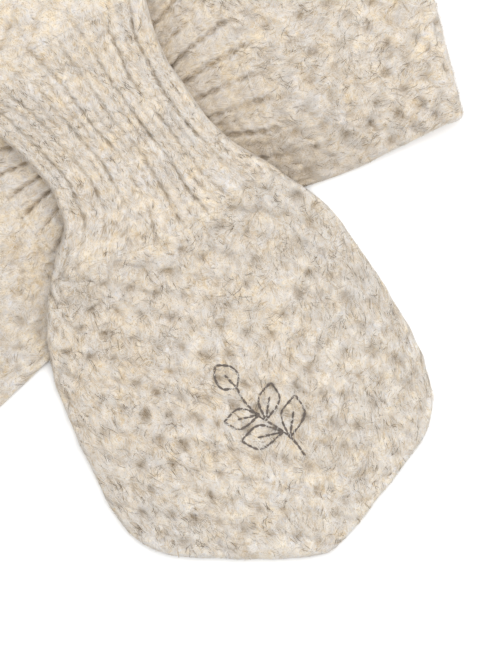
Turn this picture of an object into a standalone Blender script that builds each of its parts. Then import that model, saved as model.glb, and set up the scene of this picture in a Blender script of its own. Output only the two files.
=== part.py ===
# A hand-knitted pull-through neck warmer, laid flat, in metres with +Z up.
# One strip starts in the front leaf, runs up through a doubled, ribbed keyhole and goes round the
# neck. Its other end comes back through the keyhole, gathered in rib, and opens into the back leaf.
# The origin lies under the middle of the back of the neck, on the surface that the garment rests on.

import math
from collections import namedtuple

import bmesh
import bpy
import numpy as np

# Driving dimensions, in millimetres and degrees. Plan points count from the middle of the crossing.
MM = 0.001
NAPE = np.array((10.0, 57.0, 0.0))  # the origin, under the middle of the back of the neck
LEAF_AXIS = -64.4  # way that the front leaf points
BACK_LEAF_AXIS = -146.0  # way that the back leaf points
LEAF_TIP = 203.2  # where the two slanted sides of a leaf's point would meet
TIP_SLOPE = 0.53  # how fast those sides fall back
TIP_ROUND = 10.0
TIP_SIDE = 3.3  # how far the point lies off the leaf's axis
SHOULDER = 17.0  # radius of a leaf's two corners
LEAF_START_BOW = 10.0  # the rib ends on a curve
KNIT = 5.0  # thickness of the knitted cloth
RIM = 3.0  # how far in from an edge the cloth rounds off
RIM_HEIGHT = 0.35  # height of the edge itself, as a share of the thickness
RIM_LINES = (0.0, 0.8, 2.2)  # grid lines that draw the rounded edge, from the edge in
CELL = 7.6  # length of a grid cell along a strip
CELLS_ACROSS = 14
PLY_GAP = 0.7  # air between two layers that lie on each other
SEAM_GAP = 0.3  # between two stretches of the same strip
FOLD_RADIUS = 4.0  # of the middle of the cloth where the strip turns over at a side of the neck
FOLD_STEPS = 6
FOLD_REACH = 26.0  # how far from a fold the front layer is still lifted by it
CLOTH_COLOUR = (0.665, 0.584, 0.491)

# How the layers are let down on each other
STEPS = 240
LAST_STEPS = 80  # of them without falling, so that nothing is left too low
SINK = 0.35  # fall in each step
STIFF = 0.5  # share of the way that a point goes to the mean of its neighbours
SPOT = 1.0  # spacing of the points where two layers are compared
SPOTS = 600  # of them each way

Row = namedtuple("Row", "x y across width bow")  # a row of stitches: middle, direction, length, curve
Edge = namedtuple("Edge", "along left right")  # a leaf's two sides, measured along its axis

LEAF = (
    Edge(along=43, left=-46.5, right=50.5),
    Edge(along=54, left=-54.5, right=57.0),
    Edge(along=66, left=-60.5, right=64.1),
    Edge(along=82, left=-66.5, right=68.1),
    Edge(along=100, left=-68.6, right=70.8),
    Edge(along=120, left=-69.3, right=73.0),
    Edge(along=140, left=-69.0, right=73.9),
    Edge(along=154, left=-67.8, right=72.3),
)
KEYHOLE = (
    Row(x=20.4, y=-37.9, across=25.6, width=97.0, bow=10),
    Row(x=12.9, y=-18.2, across=25.6, width=76.5, bow=5),
    Row(x=0.0, y=0.0, across=25.6, width=72.2, bow=0),
    Row(x=-12.1, y=13.0, across=26.5, width=80.0, bow=-3),
    Row(x=-26.8, y=29.8, across=28.0, width=98.5, bow=-1),
)
NECK_LEFT = (
    KEYHOLE[-1],
    Row(x=-56.4, y=56.4, across=45.0, width=100.5, bow=0),
    Row(x=-83.2, y=71.7, across=60.0, width=102.0, bow=0),
    Row(x=-107.9, y=82.4, across=69.0, width=103.0, bow=0),
)
THROUGH = (
    Row(x=-34.5, y=-25.7, across=-56.0, width=97.0, bow=10),
    Row(x=-15.6, y=-14.0, across=-57.0, width=66.0, bow=5),
    Row(x=3.5, y=-1.2, across=-61.0, width=46.0, bow=0),
    Row(x=24.9, y=9.1, across=-69.0, width=75.0, bow=-4),
    Row(x=45.7, y=18.7, across=-65.1, width=107.6, bow=-8),
)
NECK_RIGHT = (
    THROUGH[-1],
    Row(x=76.0, y=28.0, across=-66.8, width=106.0, bow=-4),
    Row(x=100.1, y=38.7, across=-70.0, width=105.0, bow=0),
    Row(x=125.9, y=50.3, across=-76.2, width=105.2, bow=0),
)
NECK_BACK = (
    Row(x=125.9, y=50.3, across=-76.2, width=105.2, bow=0),
    Row(x=67.2, y=51.1, across=-93.0, width=103.0, bow=0),
    Row(x=9.9, y=56.9, across=-99.0, width=103.0, bow=0),
    Row(x=-48.2, y=67.6, across=-102.5, width=103.0, bow=0),
    Row(x=-107.9, y=82.4, across=-111.0, width=103.0, bow=0),
)
UNDER = (
    Row(x=25.1, y=-47.8, across=25.6, width=76.0, bow=5),
    Row(x=10.5, y=-20.0, across=25.6, width=66.0, bow=2),
    Row(x=0.0, y=0.0, across=25.6, width=64.0, bow=0),
    Row(x=-12.6, y=14.0, across=26.5, width=70.0, bow=-2),
    Row(x=-30.8, y=34.5, across=28.5, width=84.0, bow=-1),
)


def turned(angle):
    """A unit vector in the plan."""
    return np.array((math.cos(math.radians(angle)), math.sin(math.radians(angle))))


def smooth_steps(table, count):
    """Count rows of values, evenly spaced, on a smooth curve through the rows of a table."""
    table = np.asarray(table, float)
    place = np.linspace(0, len(table) - 1, count)
    i = np.minimum(place.astype(int), len(table) - 2)
    f = (place - i)[:, None]
    slope = np.gradient(table, axis=0)
    a, b, rise_a, rise_b = table[i], table[i + 1], slope[i], slope[i + 1]
    turn = 3 * (b - a) - 2 * rise_a - rise_b
    return a + f * rise_a + f**2 * turn + f**3 * (2 * (a - b) + rise_a + rise_b)


def lines_across(width):
    """Places of the grid lines over a row of that width, closer together at its two edges."""
    inner = np.linspace(RIM_LINES[-1], width - RIM_LINES[-1], CELLS_ACROSS + 1)
    outer = np.array(RIM_LINES[:-1])
    return np.concatenate((outer, inner, width - outer[::-1]))


def laid_rows(rows):
    """Plan points of a stretch that a table of rows gives."""
    length = sum(math.dist(a[:2], b[:2]) for a, b in zip(rows, rows[1:]))
    table = smooth_steps(rows, round(length / CELL) + 1)
    headings = np.gradient(table[:, :2], axis=0)
    grid = []
    for (x, y, across, width, bow), heading in zip(table, headings):
        place = lines_across(width) - width / 2
        bulge = -bow * (1 - (2 * place / width) ** 2)
        ahead = heading / np.hypot(*heading)
        grid.append(np.array((x, y)) + np.outer(place, turned(across)) + np.outer(bulge, ahead))
    return np.array(grid)


def tip_line(side):
    """How far a leaf reaches along its axis, at a distance to the side of it."""
    off = np.abs(side - TIP_SIDE)
    reach = LEAF_TIP - TIP_SLOPE * np.hypot(off, TIP_ROUND)
    half = np.where(side < TIP_SIDE, TIP_SIDE - LEAF[-1].left, LEAF[-1].right - TIP_SIDE)
    into = np.clip((off - half + SHOULDER) / SHOULDER, 0, 1)
    return reach - SHOULDER * (1 - np.sqrt(1 - into**2))


def laid_leaf(axis):
    """Plan points of a leaf, from its tip to its start, where the rib begins."""
    along_edge, left_edge, right_edge = np.array(LEAF).T
    share = lines_across(right_edge[-1] - left_edge[-1])
    share = share / share[-1]
    tip = tip_line(left_edge[-1] + (right_edge[-1] - left_edge[-1]) * share)
    start = along_edge[0] + LEAF_START_BOW * (1 - (2 * share - 1) ** 2)
    steps = round((tip.max() - start.max()) / CELL) + 1
    even = np.linspace(0, 1, steps)[:, None]
    inner = tip - RIM_LINES[-1]
    along = np.vstack([tip - rim for rim in RIM_LINES[:-1]] + [inner + even * (start - inner)])
    left = np.interp(along, along_edge, left_edge)
    side = left + (np.interp(along, along_edge, right_edge) - left) * share
    return along[..., None] * turned(axis) + side[..., None] * turned(axis + 90)


def joined(*grids):
    """One grid of several that follow each other, each starting on the last one's end row."""
    return np.concatenate([grids[0]] + [grid[1:] for grid in grids[1:]])


def rim_factor(plan, tip):
    """From 0 at a free edge to 1 where the cloth has its full thickness."""
    left = np.linalg.norm(plan - plan[:, :1], axis=2)
    right = np.linalg.norm(plan - plan[:, -1:], axis=2)
    away = np.minimum(left, right)
    if tip:
        away = np.minimum(away, np.linalg.norm(plan - plan[:1], axis=2))
    return np.sqrt(1 - (1 - np.minimum(away / RIM, 1)) ** 2)


def half_quads(lines, row, line):
    """The point numbers of the two triangles of a grid cell."""
    a = row * lines + line
    return (a, a + 1, a + lines), (a + 1, a + lines + 1, a + lines)


def spots_under(plan):
    """Points on an even raster below a plan grid: their numbers, corners and weights."""
    rows, lines = plan.shape[:2]
    flat = plan.reshape(-1, 2)
    numbers, corners, weights = [], [], []
    cells = [(row, line) for row in range(rows - 1) for line in range(lines - 1)]
    for three in (three for cell in cells for three in half_quads(lines, *cell)):
        p = flat[list(three)]
        low = np.ceil(p.min(axis=0) / SPOT).astype(int)
        high = np.floor(p.max(axis=0) / SPOT).astype(int) + 1
        across, up = np.meshgrid(np.arange(low[0], high[0]), np.arange(low[1], high[1]))
        place = np.column_stack((across.ravel(), up.ravel()))
        if not len(place):
            continue
        sides = np.column_stack((p[1] - p[0], p[2] - p[0]))
        share = np.linalg.solve(sides, (place * SPOT - p[0]).T).T
        share = np.column_stack((1 - share.sum(axis=1), share))
        inside = (share >= -1e-6).all(axis=1)
        place = place[inside] + SPOTS // 2
        numbers.append(place[:, 0] * SPOTS + place[:, 1])
        corners.append(np.tile(three, (len(place), 1)))
        weights.append(share[inside])
    return np.concatenate(numbers), np.concatenate(corners), np.concatenate(weights)


def eased(height, least):
    """Heights one step lower, drawn towards their neighbours', and never under the least."""
    around = np.pad(height, 1, mode="edge")
    mean = (around[2:, 1:-1] + around[:-2, 1:-1] + around[1:-1, 2:] + around[1:-1, :-2]) / 4
    return np.maximum(height + STIFF * (mean - height) - SINK, least)


def let_down(plan, rim, pile, least):
    """Heights of a layer that is let down on the pile of layers, and then added to it."""
    numbers, corners, weights = spots_under(plan)
    need = np.where(pile[numbers] > 0, pile[numbers] + PLY_GAP, 0)
    strength = (weights**2).sum(axis=1)
    rim_rise = (KNIT * RIM_HEIGHT * (1 - rim)).ravel()
    height = least.astype(float)
    for step in range(STEPS):
        if step < STEPS - LAST_STEPS:
            height = eased(height, least)
        lifted = height.ravel()
        short = need - ((lifted + rim_rise)[corners] * weights).sum(axis=1)
        push = np.maximum(short, 0)[:, None] * weights / strength[:, None]
        rise = np.zeros_like(lifted)
        np.maximum.at(rise, corners, push)
        height = (lifted + rise).reshape(height.shape)
    upper = cloth(plan, height, rim)[0][..., 2].ravel()
    layer = np.zeros_like(pile)
    np.maximum.at(layer, numbers, (upper[corners] * weights).sum(axis=1))
    for way in (-SPOTS - 1, -SPOTS, -SPOTS + 1, -1, 0, 1, SPOTS - 1, SPOTS, SPOTS + 1):
        np.maximum(pile, np.roll(layer, way), out=pile)
    return height


def fold_lift(plan):
    """Least heights of a layer that rises towards the fold at its last row."""
    near = np.clip(1 - np.linalg.norm(plan - plan[-1:], axis=2) / FOLD_REACH, 0, 1)
    return 2 * FOLD_RADIUS * near * near * (3 - 2 * near)


def cloth(plan, height, rim):
    """The upper and the under face of a layer, as grids of points."""
    upper = height + KNIT * (RIM_HEIGHT + (1 - RIM_HEIGHT) * rim)
    under = height + KNIT * RIM_HEIGHT * (1 - rim)
    return np.dstack((plan, upper)), np.dstack((plan, under))


def folded(upper, under):
    """Adds the turn of the strip over its last row, down to the layer on the surface."""
    line = upper[-1, :, :2]
    run = line[-1] - line[0]
    outward = np.array((-run[1], run[0])) / np.hypot(*run)
    if outward @ (line[0] - upper[-3, 0, :2]) < 0:
        outward = -outward
    half = (upper[-1, :, 2] - under[-1, :, 2]) / 2
    shift = under[-1, :, 2] + half - (2 * FOLD_RADIUS + KNIT / 2)
    centre = FOLD_RADIUS + KNIT / 2
    outer_rows, inner_rows = [], []
    for step in range(1, FOLD_STEPS + 1):
        angle = math.pi * (0.5 - step / FOLD_STEPS)
        middle = FOLD_RADIUS + shift * math.sin(angle)
        for rows, reach in ((outer_rows, middle + half), (inner_rows, middle - half)):
            plan = line + np.outer(reach * math.cos(angle), outward)
            rows.append(np.column_stack((plan, centre + reach * math.sin(angle))))
    return np.concatenate((upper, outer_rows)), np.concatenate((under, inner_rows))


def stretch(faces, first, last, cut_first=True, cut_last=True):
    """The rows from first to last of both faces, set back by half a seam's gap where they are cut."""
    parts = [face[first : last + 1].copy() for face in faces]
    for part in parts:
        for cut, end, inward in ((cut_first, 0, 1), (cut_last, -1, -2)):
            if cut:
                way = part[inward] - part[end]
                part[end] += way * (SEAM_GAP / 2 / np.linalg.norm(way, axis=1))[:, None]
    return parts


def solid(name, faces, free_first=False):
    """One closed piece of cloth from its two faces, which share their points along free edges."""
    upper, under = faces
    rows, lines = upper.shape[:2]
    shell = bmesh.new()
    top = [shell.verts.new((point - NAPE) * MM) for point in upper.reshape(-1, 3)]
    base = list(top)
    for row in range(1 if free_first else 0, rows):
        for line in range(1, lines - 1):
            base[row * lines + line] = shell.verts.new((under[row, line] - NAPE) * MM)
    for row in range(rows - 1):
        for line in range(lines - 1):
            for three in half_quads(lines, row, line):
                if any(top[i] is not base[i] for i in three):
                    shell.faces.new([top[i] for i in three])
                    shell.faces.new([base[i] for i in reversed(three)])
    ends = [(rows - 1) * lines] if free_first else [0, (rows - 1) * lines]
    for start in ends:
        for a in range(start, start + lines - 1):
            ring = dict.fromkeys((top[a], top[a + 1], base[a + 1], base[a]))
            shell.faces.new(list(ring))
    bmesh.ops.triangulate(shell, faces=shell.faces[:])
    bmesh.ops.recalc_face_normals(shell, faces=shell.faces[:])
    mesh = bpy.data.meshes.new(name)
    shell.to_mesh(mesh)
    shell.free()
    mesh.shade_smooth()
    mesh.materials.append(wool(name))
    bpy.context.scene.collection.objects.link(bpy.data.objects.new(name, mesh))


def wool(name):
    """Soft undyed wool."""
    material = bpy.data.materials.new(name + "_wool")
    material.use_nodes = True
    shader = material.node_tree.nodes["Principled BSDF"]
    shader.inputs["Base Color"].default_value = (*CLOTH_COLOUR, 1)
    shader.inputs["Roughness"].default_value = 0.95
    shader.inputs["Metallic"].default_value = 0.0
    return material


def flat_layer(name, table, pile):
    """A stretch that lies between two others: the back of the neck, or the keyhole's under layer."""
    plan = laid_rows(table)
    rim = rim_factor(plan, tip=False)
    height = let_down(plan, rim, pile, np.zeros(rim.shape))
    solid(name, stretch(cloth(plan, height, rim), 0, len(plan) - 1))


def strip(leaf_name, rib_name, neck_name, axis, rib_rows, neck_rows, pile):
    """One end of the garment: a leaf, its rib, and a side of the neck with its fold."""
    leaf, rib, neck = laid_leaf(axis), laid_rows(rib_rows), laid_rows(neck_rows)
    plan = joined(leaf, rib, neck)
    rim = rim_factor(plan, tip=True)
    height = let_down(plan, rim, pile, fold_lift(plan))
    faces = folded(*cloth(plan, height, rim))
    leaf_end = len(leaf) - 1
    rib_end = leaf_end + len(rib) - 1
    solid(leaf_name, stretch(faces, 0, leaf_end, cut_first=False), free_first=True)
    solid(rib_name, stretch(faces, leaf_end, rib_end))
    solid(neck_name, stretch(faces, rib_end, len(faces[0]) - 1))


def main():
    for old in list(bpy.data.objects):
        bpy.data.objects.remove(old, do_unlink=True)
    pile = np.zeros(SPOTS * SPOTS)
    flat_layer("neck_back", NECK_BACK, pile)
    flat_layer("keyhole_under_rib", UNDER, pile)
    strip("back_leaf", "through_rib", "neck_right", BACK_LEAF_AXIS, THROUGH, NECK_RIGHT, pile)
    strip("front_leaf", "keyhole_top_rib", "neck_left", LEAF_AXIS, KEYHOLE, NECK_LEFT, pile)


main()
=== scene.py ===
import math

import bpy
import numpy as np
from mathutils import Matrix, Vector
from mathutils.bvhtree import BVHTree


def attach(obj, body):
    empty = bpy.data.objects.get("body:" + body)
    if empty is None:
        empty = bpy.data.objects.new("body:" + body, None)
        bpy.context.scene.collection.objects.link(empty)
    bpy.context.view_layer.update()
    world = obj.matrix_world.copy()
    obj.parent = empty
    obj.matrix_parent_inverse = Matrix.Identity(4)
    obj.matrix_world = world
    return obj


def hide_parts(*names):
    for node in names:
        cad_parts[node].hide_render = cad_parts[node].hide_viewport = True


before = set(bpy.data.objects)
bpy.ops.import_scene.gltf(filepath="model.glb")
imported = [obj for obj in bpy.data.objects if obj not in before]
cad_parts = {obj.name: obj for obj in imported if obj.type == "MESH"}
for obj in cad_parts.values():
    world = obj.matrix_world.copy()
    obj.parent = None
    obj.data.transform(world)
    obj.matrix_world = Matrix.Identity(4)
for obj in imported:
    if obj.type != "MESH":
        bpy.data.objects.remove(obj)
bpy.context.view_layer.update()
mm = 0.001

# The plan, in millimetres from the middle of the crossing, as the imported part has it.
cloth = dict(
    nape=(10.0, 57.0, 0.0),  # the part's origin, seen from the crossing
    thick=5.0,
    rim=3.2,  # how far in from an edge the cloth rounds off
    rimHeight=0.32,
    foldRadius=4.0,
    inset=4.4,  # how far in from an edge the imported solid's height is read
    control=3.6,  # spacing of the places where it is read
    above=60.0,  # higher than any layer
    room=4.0,  # more air than any stitch needs
    underStep=6,  # fine cells to one cell of the underside
    borderStep=0.9,  # spacing of the places that stand for an edge
    air=0.25,  # left between a stitch and the layer above
    lowest=0.15,  # that a stitch comes down to
    press=2.6,  # how far a layer sinks beside the edge of the one above it
    pressReach=6.0,
    shadeReach=29.0,
    leafShade=0.6,  # that shade on the leaf's side of the keyhole
    mouthShade=0.45,  # how much painted shade darkens the wool where the strip comes out of the keyhole
    mouthOver=20.0,  # the length over which the leaf's side becomes the neck's
    foldRelief=0.12,  # how much of the stitches' relief is left where the cloth stands upright
    edgeRelief=0.45,  # and at the edges
    edgeFade=1.6,  # the length over which it fades out at the very edge
    swell=(0.5, 24.0),  # slow rise and fall of the whole face, and size of those waves
    edgeCrowd=0.4,  # how much closer the grid lines are at the edges
    ripple=0.45,  # of the edges, from stitch to stitch
)
# The leaf's edges: along its axis, left, right.
leafEdges = ((43, -46.5, 50.5), (54, -54.5, 57.0), (66, -60.5, 64.1), (82, -66.5, 68.1),
             (100, -68.6, 70.8), (120, -69.3, 73.0), (140, -69.0, 73.9), (154, -67.8, 72.3))
leafShape = dict(
    tip=203.2,  # along the axis
    side=3.3,  # from the axis to the tip
    slope=0.53,  # of the slanted sides
    round=10.0,
    shoulder=17.0,
    startBow=10.0,
    wide=140.0,
    calmStart=12.0,  # length over which the edges' ripple sets in
    tipWaves=7.0,
    sideWaves=6.5,
)

# Rows of stitches: middle x and y, direction, length, curve.
keyholeRows = ((20.4, -37.9, 25.6, 97.0, 10), (11.5, -18.9, 25.6, 73.3, 5), (-0.6, -0.3, 25.6, 70.8, 0),
               (-12.1, 13.0, 26.5, 80.0, -3), (-26.8, 29.8, 28.0, 98.5, -1))
neckLeftRows = (keyholeRows[-1], (-56.4, 56.4, 45.0, 100.5, 0), (-83.2, 71.7, 60.0, 102.0, 0),
                (-107.9, 82.4, 69.0, 103.0, 0))
throughRows = ((-34.5, -25.7, -56.0, 97.0, 10), (-15.6, -14.0, -57.0, 66.0, 5), (3.5, -1.2, -61.0, 46.0, 0),
               (24.9, 9.1, -67.0, 91.0, -5), (45.7, 18.7, -65.1, 107.6, -8))
neckRightRows = (throughRows[-1], (76.0, 28.0, -66.8, 106.0, -4), (100.1, 38.7, -70.0, 105.0, 0),
                 (125.9, 50.3, -76.2, 105.2, 0))
neckBackRows = ((125.9, 50.3, -76.2, 105.2, 0), (67.2, 51.1, -93.0, 103.0, 0), (9.9, 56.9, -99.0, 103.0, 0),
                (-48.2, 67.6, -102.5, 103.0, 0), (-107.9, 82.4, -111.0, 103.0, 0))
underRows = ((25.1, -47.8, 25.6, 76.0, 5), (10.5, -20.0, 25.6, 66.0, 2), (0.0, 0.0, 25.6, 64.0, 0),
             (-12.6, 14.0, 26.5, 70.0, -2), (-30.8, 34.5, 28.5, 84.0, -1))

# How far an edge lies outside its rows: row, left, right.
keyholeSides = ((0, 0, 0), (0.57, -2.7, -1.0), (1, 0, -0.8), (1.3, 0.4, -1.1), (1.71, 1.8, -1.3),
                (2.1, 2.2, -1.5), (2.5, 1.6, -2.6), (3, 0, -3.3), (3.5, 0, -3.7), (4, 0, -3.3))
neckLeftSides = ((0, 0, -3.3), (0.35, 0, -2.2), (0.8, 0, 0), (3, 0, 0))


def turned(angle):
    angle = np.radians(angle)
    return np.stack((np.cos(angle), np.sin(angle)), axis=-1)


def ease(x):
    x = np.clip(x, 0, 1)
    return x * x * (3 - 2 * x)


def mixed(a, b, share):
    return a + (b - a) * share


def curved(a, b, riseA, riseB, f):
    # from a to b, leaving and arriving at the given slopes
    return a + f * riseA + f**2 * (3 * (b - a) - 2 * riseA - riseB) + f**3 * (2 * (a - b) + riseA + riseB)


def smoothSteps(table, count):
    # count rows of values, evenly spaced, on a smooth curve through the rows of a table
    table = np.asarray(table, float)
    place = np.linspace(0, len(table) - 1, count)
    i = np.minimum(place.astype(int), len(table) - 2)
    slope = np.gradient(table, axis=0)
    return curved(table[i], table[i + 1], slope[i], slope[i + 1], (place - i)[:, None])


def overGrid(net, rows, lines):
    # a coarse net of values, smooth over a whole grid
    return smoothSteps(smoothSteps(net, rows).T, lines).T


def smoothEdge(x, places, values):
    # a smooth curve through uneven places, level beyond them
    slope = np.gradient(values, places)
    slope[-1] = 0
    x = np.clip(x, places[0], places[-1])
    i = np.clip(np.searchsorted(places, x) - 1, 0, len(places) - 2)
    step = places[i + 1] - places[i]
    return curved(values[i], values[i + 1], slope[i] * step, slope[i + 1] * step, (x - places[i]) / step)


def lengthAlong(points):
    # how far along a line each of its points lies
    return np.concatenate(([0], np.cumsum(np.linalg.norm(np.diff(points, axis=0), axis=1))))


def whole(length, spacing, step):
    # a number of fine cells that the underside's cells divide
    return max(step, round(length / spacing / step) * step)


def laidRows(rows, spacing, share, sides=None):
    step = cloth["underStep"]
    length = sum(math.dist(a[:2], b[:2]) for a, b in zip(rows, rows[1:]))
    table = smoothSteps(rows, whole(length, spacing, step) + 1)
    heading = np.gradient(table[:, :2], axis=0)
    heading /= np.linalg.norm(heading, axis=1)[:, None]
    place = (share - 0.5) * table[:, 3:4]
    if sides:
        at, left, right = np.array(sides, float).T
        at, row = at / at[-1], np.linspace(0, 1, len(table))
        place = place + mixed(-smoothEdge(row, at, left)[:, None], smoothEdge(row, at, right)[:, None], share)
    bulge = -table[:, 4:5] * (1 - (2 * share - 1) ** 2)
    return (table[:, None, :2] + place[..., None] * turned(table[:, 2])[:, None]
            + bulge[..., None] * heading[:, None])


def tipLine(side, left, right):
    shape = leafShape
    off = np.abs(side - shape["side"])
    reach = shape["tip"] - shape["slope"] * np.hypot(off, shape["round"])
    half = np.where(side < shape["side"], shape["side"] - left, right - shape["side"])
    into = np.clip((off - half + shape["shoulder"]) / shape["shoulder"], 0, 1)
    return reach - shape["shoulder"] * (1 - np.sqrt(1 - into**2))


def shares(cells):
    # places of the grid lines across a strip, closer together at its edges
    even = np.linspace(0, 1, cells + 1)
    return mixed(even, (1 - np.cos(math.pi * even)) / 2, cloth["edgeCrowd"])


def laidLeaf(axis, spacing, share):
    along, left, right = np.array(leafEdges, float).T
    ripple = cloth["ripple"]
    tip = tipLine(mixed(left[-1], right[-1], share), left[-1], right[-1])
    tip = tip + ripple * uneven(share * leafShape["wide"], share * 0, leafShape["tipWaves"], 21)
    start = along[0] + leafShape["startBow"] * (1 - (2 * share - 1) ** 2)
    cells = whole(tip.max() - start.max(), spacing, cloth["underStep"])
    reach = tip + np.linspace(0, 1, cells + 1)[:, None] * (start - tip)
    wave = ripple * ease((reach - start) / leafShape["calmStart"])
    waves = leafShape["sideWaves"]
    left, right = [smoothEdge(reach, along, edge) + wave * uneven(reach, 0 * reach, waves, kind)
                   for edge, kind in ((left, 22), (right, 23))]
    side = mixed(left, right, share)
    return reach[..., None] * turned(axis) + side[..., None] * turned(axis + 90)


def joinedOn(grid, after, reach):
    # a stretch drawn to the last one's end row, so that the two are one piece of knitting
    fade = ease(1 - np.arange(len(after)) / reach)[:, None, None]
    return np.concatenate((grid, (after + fade * (grid[-1] - after[0]))[1:]))


# Soft unevenness: a smooth random surface over two coordinates, another one for each kind.
unevenTable = np.random.default_rng(41).uniform(-1, 1, (256, 256))
kindsApart = (31.7, 17.3)


def between(table, i, j, f, g):
    # a value between the four nearest ones of a table that repeats
    wide, high = table.shape
    near, far = [mixed(table[i % wide, k % high], table[(i + 1) % wide, k % high], f)
                 for k in (j, j + 1)]
    return mixed(near, far, g)


def uneven(x, y, size, kind):
    x, y = x / size + kindsApart[0] * kind, y / size + kindsApart[1] * kind
    i, j = np.floor(x).astype(int), np.floor(y).astype(int)
    return between(unevenTable, i, j, ease(x - i), ease(y - j))


# One period of a stitch pattern, worked out from the yarn's own path and kept as a small raster.
mossStitch = dict(wide=8.6, high=6.0, checker=True, radius=2.25, swing=1.45, blur=0.45)
ribStitch = dict(wide=6.9, high=5.6, checker=False, radius=1.9, swing=0.8, blur=0.35)
yarn = dict(
    spot=0.12,  # size of the raster's cells
    round=0.8,  # height of the yarn's section, to its width
    beads=49,  # along half a loop
    levelled=2,  # percent of the spots, the lowest ones
    apart=400,  # so that no two loops show the same length of yarn
    jump=2.2,  # a larger step between neighbouring spots leads to another strand
)
halfLoop = ((0.0, 1.02), (0.2, 0.93), (0.31, 0.62), (0.23, 0.25), (0.17, -0.1), (0.29, -0.42), (0.5, -0.52))
# How far each of those points goes with the legs, the feet and the head of the loop.
loopDepth = ((0, 0, 1), (0, 0, 1), (0.8, 0, 0.2), (1, 0, 0), (0.3, 0.7, 0), (0, 1, 0), (0, 1, 0))


def stitchCell(setting):
    # heights of the yarn, how far along and across it each spot lies, and which loop it is
    wide, high, spot, nothing = setting["wide"], setting["high"], yarn["spot"], -9.0
    nx, ny = round(2 * wide / spot), round(2 * high / spot)
    x, y = [(np.arange(n) + 0.5) / n * 2 * size for n, size in ((nx, wide), (ny, high))]
    x, y = np.meshgrid(x, y, indexing="ij")
    best = np.full((nx, ny), nothing)
    run, off = np.zeros((nx, ny)), np.zeros((nx, ny))
    loop = np.zeros((nx, ny, 2), int)

    def sign(column, row):
        return (1 if (column + row) % 2 == 0 else -1) if setting["checker"] else 1

    for column in range(-1, 3):
        for row in range(-2, 3):
            own, above = sign(column, row), sign(column, row + 1)
            for side in (-1, 1):
                beside = sign(column + side, row)
                heights = []
                for number, (legs, feet, head) in enumerate(loopDepth):
                    foot = -(own + beside) / 2 if number == len(loopDepth) - 1 else -own
                    heights.append(setting["swing"] * (legs * own + feet * foot - head * above))
                path = [(side * a, b, c) for (a, b), c in zip(halfLoop, heights)]
                points = smoothSteps(path, yarn["beads"])
                points[:, 0] = (points[:, 0] + column + 0.5) * wide
                points[:, 1] = (points[:, 1] + row + 0.5) * high
                way = np.gradient(points[:, :2], axis=0)
                pace = np.linalg.norm(way, axis=1)
                way /= pace[:, None]
                length = np.cumsum(pace) * side
                for p, w, s in zip(points, way, length):
                    dx, dy = x - p[0], y - p[1]
                    inside = setting["radius"] ** 2 - dx**2 - dy**2
                    arc = yarn["round"] * np.sqrt(np.maximum(inside, 0))
                    lift = np.where(inside < 0, nothing, p[2] + arc)
                    over = lift > best
                    best[over] = lift[over]
                    run[over] = s
                    off[over] = (dx * w[1] - dy * w[0])[over]
                    loop[over] = (column, row)
    best = np.maximum(best, np.percentile(best, yarn["levelled"]))
    fx, fy = np.fft.fftfreq(nx, 2 * wide / nx), np.fft.fftfreq(ny, 2 * high / ny)
    soft = np.exp(-2 * (math.pi * setting["blur"]) ** 2 * (fx[:, None] ** 2 + fy**2))
    best = np.fft.ifft2(np.fft.fft2(best) * soft).real
    return dict(height=best - best.mean(), run=run, off=off, loop=loop)


def knitted(cell, column, row):
    # looks a stitch pattern up at places given in stitches
    nx, ny = cell["height"].shape
    px, py = (column / 2 % 1) * nx - 0.5, (row / 2 % 1) * ny - 0.5
    i, j = np.floor(px).astype(int), np.floor(py).astype(int)
    height = between(cell["height"], i, j, px - i, py - j)
    near = np.round(px).astype(int) % nx, np.round(py).astype(int) % ny
    start = np.stack((np.floor(column / 2) * 2, np.floor(row / 2) * 2), axis=-1).astype(int)
    loop = cell["loop"][near] + start
    shift = between(unevenTable, loop[..., 0], loop[..., 1], 0, 0)
    return height, cell["run"][near] + yarn["apart"] * shift, cell["off"][near], shift


mossCell, ribCell = stitchCell(mossStitch), stitchCell(ribStitch)
print("stitch patterns worked out from the yarn's path")


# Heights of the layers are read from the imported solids.
def treeOf(objects):
    points, faces = [], []
    for thing in objects:
        faces += [[len(points) + v for v in face.vertices] for face in thing.data.polygons]
        points += [v.co.copy() for v in thing.data.vertices]
    return BVHTree.FromPolygons(points, faces)


def firstHit(tree, place, z, up):
    way = Vector((0, 0, 1 if up else -1))
    x, y = (place[0] - cloth["nape"][0]) * mm, (place[1] - cloth["nape"][1]) * mm
    hit = tree.ray_cast(Vector((x, y, z * mm)), way)[0]
    return np.nan if hit is None else hit.z / mm


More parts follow.
